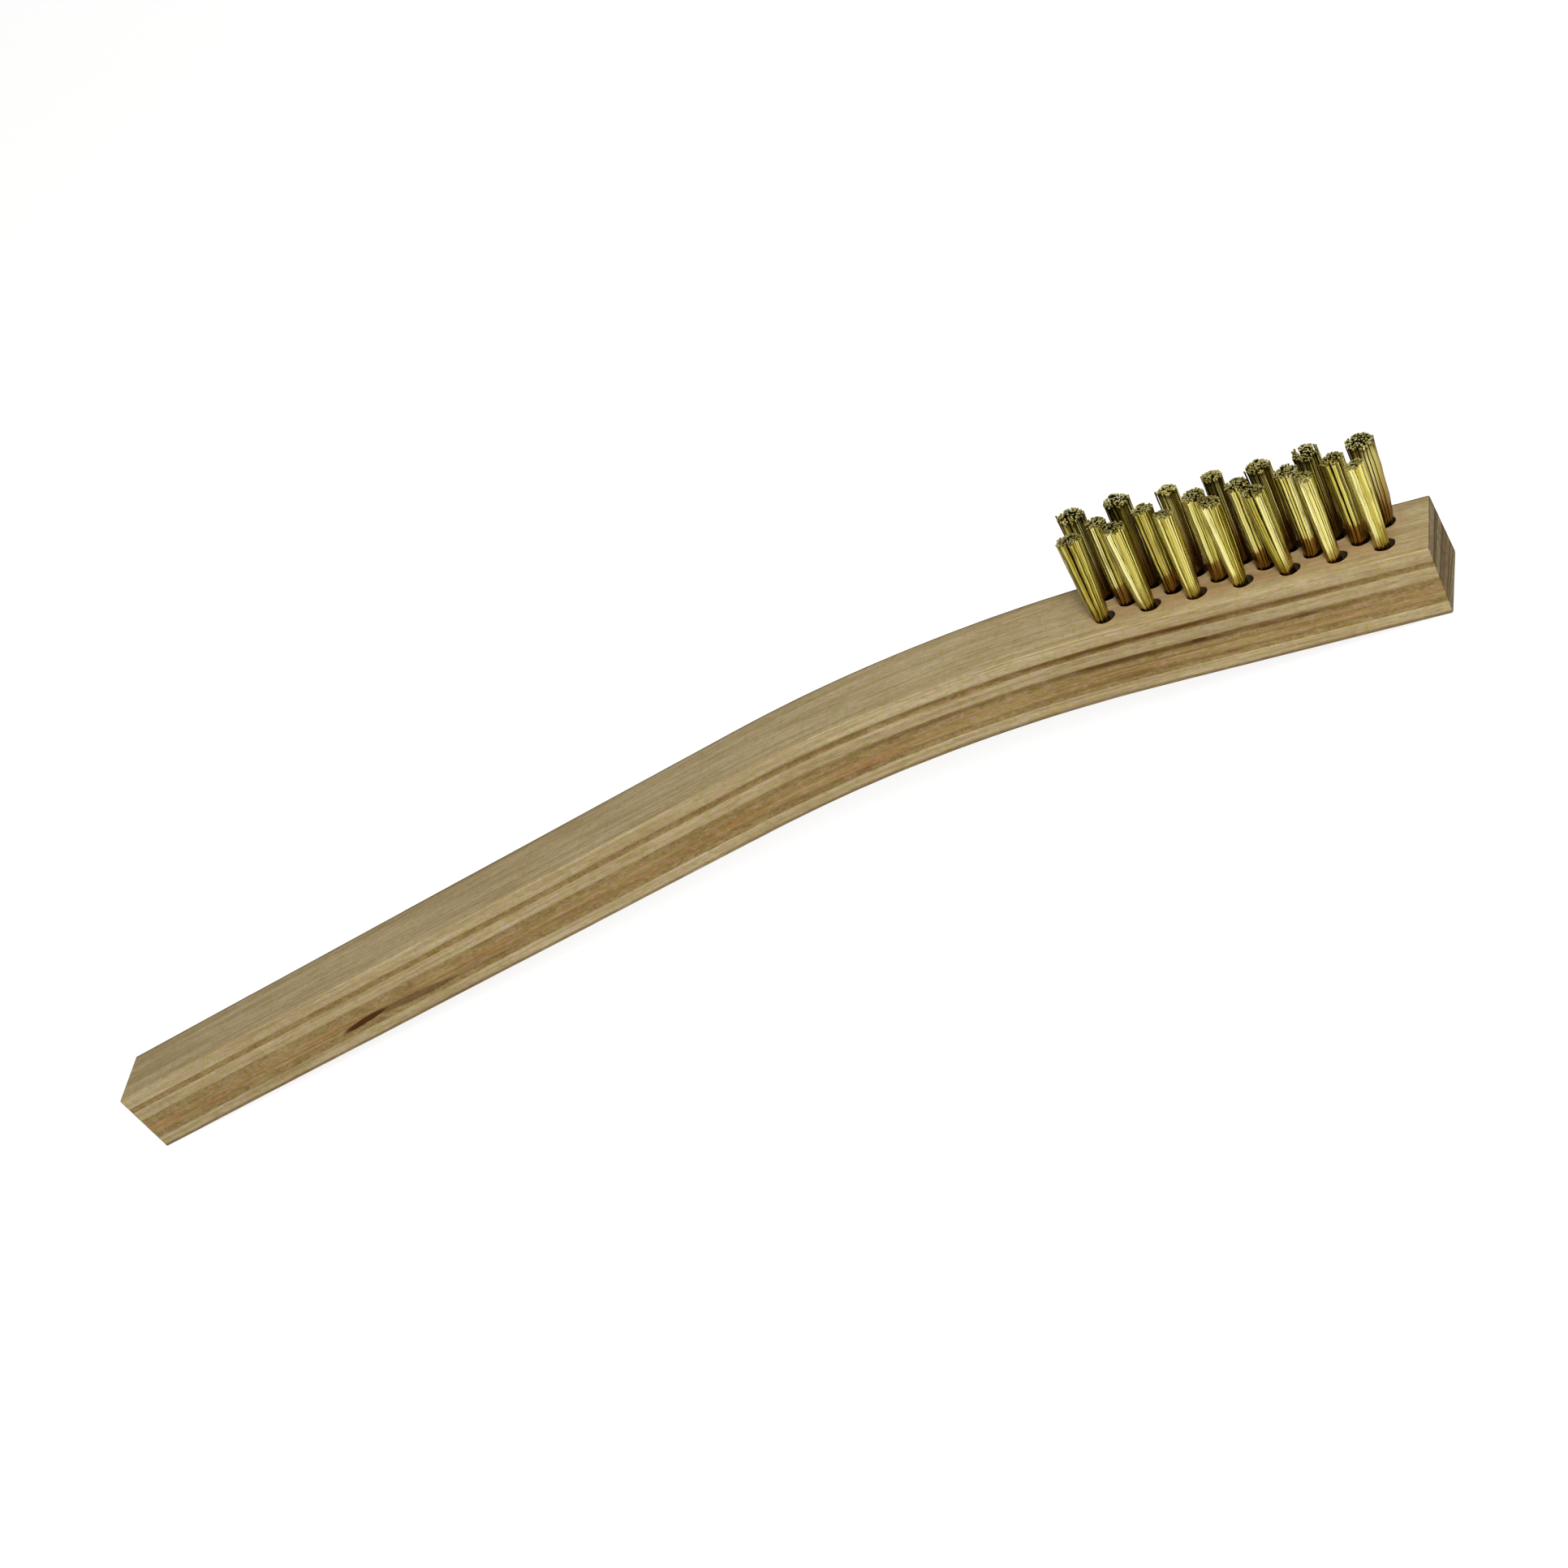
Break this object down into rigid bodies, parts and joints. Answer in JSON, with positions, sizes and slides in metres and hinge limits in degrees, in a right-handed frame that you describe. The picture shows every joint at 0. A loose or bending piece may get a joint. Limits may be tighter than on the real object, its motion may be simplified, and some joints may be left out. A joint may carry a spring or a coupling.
{
  "type": "wire brush",
  "caption": "Small hand scratch brush: a slim bent plywood handle with staggered rows of flared brass wire tufts standing out of its straight head.",
  "frame": {"origin": "on the flat back of the head, under the centre of the tuft field", "axes": "+X runs along the head to its tip, +Y across the handle, +Z out of the bristle face along the wires"},
  "size_m": [0.1875, 0.0106, 0.0542],
  "materials": {
    "birch_long": "bare sanded veneer, grain along the handle",
    "birch_cross": "bare sanded veneer, end grain at the sides",
    "brass_wire": "bright drawn wire, slightly tarnished",
    "anchor_wire": "plain flat wire"
  },
  "bodies": {
    "root": {"ply_1_bristle_face": "birch_long", "ply_2_cross": "birch_cross", "ply_3_long": "birch_long", "ply_4_core_cross": "birch_cross", "ply_5_long": "birch_long", "ply_6_cross": "birch_cross", "ply_7_back": "birch_long", "tuft_near_1": "brass_wire", "tuft_near_2": "brass_wire", "tuft_near_3": "brass_wire", "tuft_near_4": "brass_wire", "tuft_near_5": "brass_wire", "tuft_near_6": "brass_wire", "tuft_near_7": "brass_wire", "tuft_mid_1": "brass_wire", "tuft_mid_2": "brass_wire", "tuft_mid_3": "brass_wire", "tuft_mid_4": "brass_wire", "tuft_mid_5": "brass_wire", "tuft_mid_6": "brass_wire", "tuft_far_1": "brass_wire", "tuft_far_2": "brass_wire", "tuft_far_3": "brass_wire", "tuft_far_4": "brass_wire", "tuft_far_5": "brass_wire", "tuft_far_6": "brass_wire", "tuft_far_7": "brass_wire", "tuft_anchors": "anchor_wire"}
  },
  "joints": []
}
